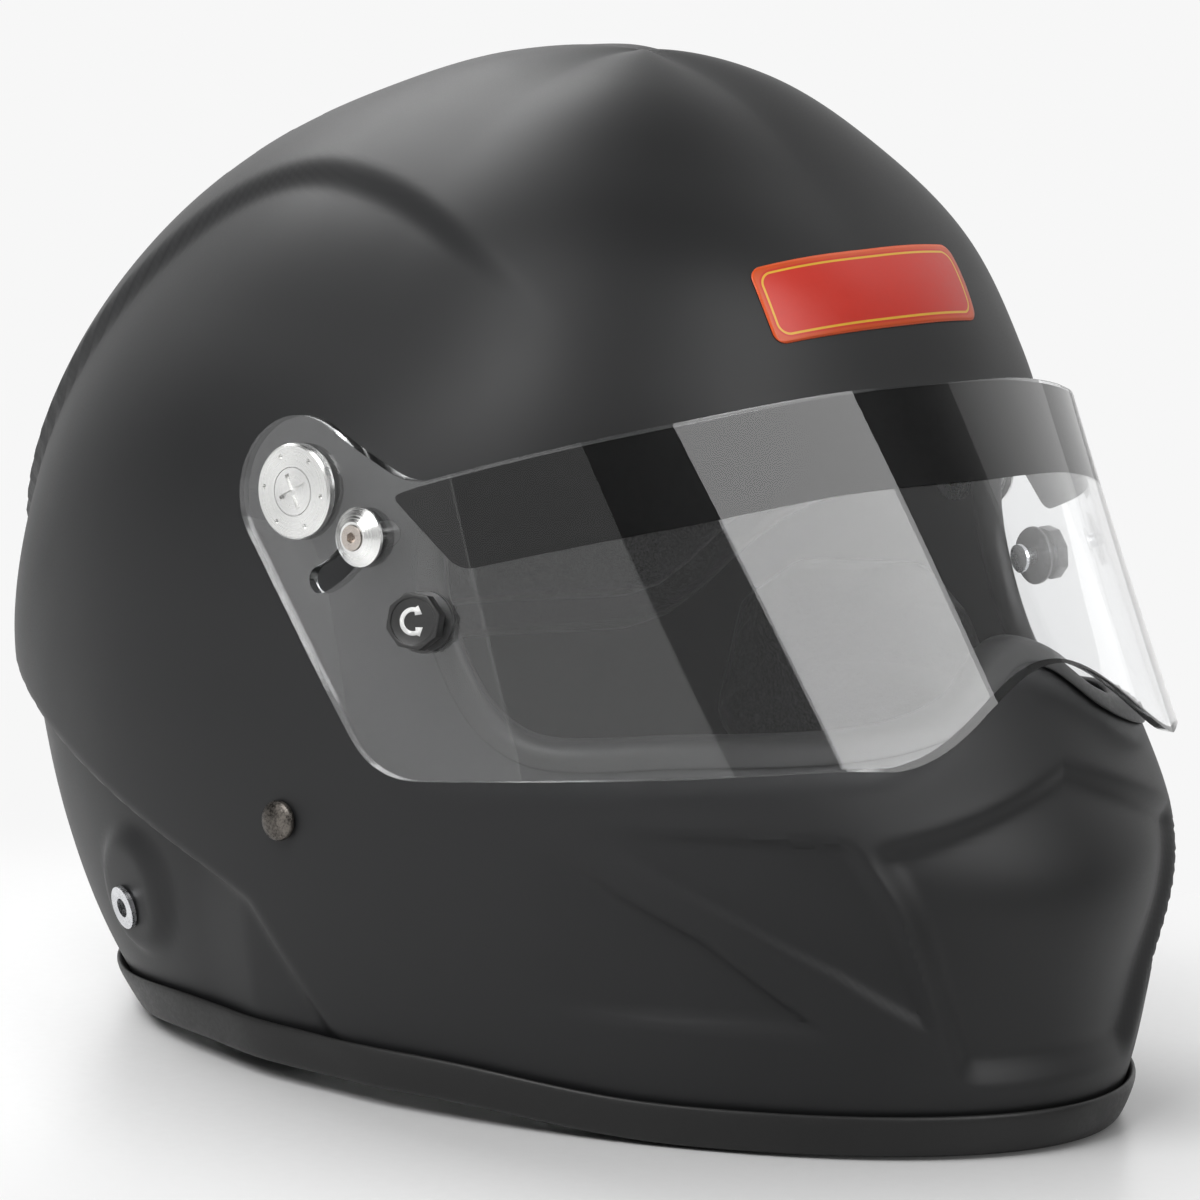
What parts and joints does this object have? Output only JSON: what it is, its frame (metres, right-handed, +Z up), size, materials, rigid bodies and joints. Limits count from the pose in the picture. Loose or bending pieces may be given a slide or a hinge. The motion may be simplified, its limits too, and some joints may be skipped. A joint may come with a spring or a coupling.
{
  "type": "full face racing helmet",
  "caption": "Matte black full face racing helmet with a tilting clear shield, padded liner, chin strap with rings and side restraint anchors.",
  "frame": {"origin": "on the surface that the rim stands on, below the middle of the helmet's box", "axes": "+Z up, -Y towards the face opening, +X to the wearer's left"},
  "size_m": [0.2704, 0.3324, 0.2575],
  "materials": {
    "shell_finish": "matt",
    "rubber": "satin",
    "foam": "matt",
    "lining": "velour",
    "clear_sheet": "clear gloss",
    "dark_film": "gloss",
    "screen": "matt",
    "steel": "satin",
    "turned_aluminium": "turned satin",
    "black_plastic": "satin",
    "webbing": "woven",
    "dark_rivet": "dark oxide"
  },
  "bodies": {
    "helmet": {"shell": "shell_finish", "rim_trim": "rubber", "eyeport_gasket": "rubber", "impact_liner": "foam", "chin_liner": "foam", "crown_pad": "lining", "cheek_pad_left": "lining", "cheek_pad_right": "lining", "neck_roll": "lining", "pivot_disc_left": "turned_aluminium", "pivot_disc_right": "turned_aluminium", "pivot_screw_left": "turned_aluminium", "pivot_screw_right": "turned_aluminium", "pivot_bushing_left": "black_plastic", "pivot_bushing_right": "black_plastic", "pivot_nut_left": "steel", "pivot_nut_right": "steel", "stop_disc_left": "turned_aluminium", "stop_disc_right": "turned_aluminium", "stop_screw_left": "steel", "stop_screw_right": "steel", "stop_nut_left": "steel", "stop_nut_right": "steel", "strap_rivet_left": "dark_rivet", "strap_rivet_right": "dark_rivet", "anchor_plate_left": "steel", "anchor_plate_right": "steel", "chin_strap_left": "webbing", "chin_strap_right": "webbing", "strap_snap": "steel", "restraint_anchor_left": "turned_aluminium", "restraint_anchor_right": "turned_aluminium", "vent_mesh_upper": "screen", "vent_mesh_lower": "screen"},
    "shield": {"shield": "clear_sheet", "shade_film": "dark_film", "post_screw_left": "steel", "post_screw_right": "steel"},
    "post_left": {"film_post_left": "black_plastic"},
    "post_right": {"film_post_right": "black_plastic"},
    "ring_upper": {"d_ring_upper": "steel"},
    "ring_lower": {"d_ring_lower": "steel"}
  },
  "joints": [
    {"name": "shield_tilt", "type": "hinge", "parent": "helmet", "child": "shield", "pos_m": [0, -0.012, 0.152], "axis": [-1, 0, 0], "range_deg": [0, 40]},
    {"name": "post_left_turn", "type": "hinge", "parent": "shield", "child": "post_left", "pos_m": [0.12376, -0.052, 0.125], "axis": [0.9385, -0.3162, 0.1389], "range_deg": [-90, 90]},
    {"name": "post_right_turn", "type": "hinge", "parent": "shield", "child": "post_right", "pos_m": [-0.12376, -0.052, 0.125], "axis": [-0.9385, -0.3162, 0.1389], "range_deg": [-90, 90]},
    {"name": "ring_upper_swing", "type": "hinge", "parent": "helmet", "child": "ring_upper", "pos_m": [-0.027, -0.007, 0.0276], "axis": [0, -1, 0], "range_deg": [0, 40]},
    {"name": "ring_lower_swing", "type": "hinge", "parent": "helmet", "child": "ring_lower", "pos_m": [-0.027, -0.007, 0.0224], "axis": [0, 1, 0], "range_deg": [0, 40]}
  ]
}
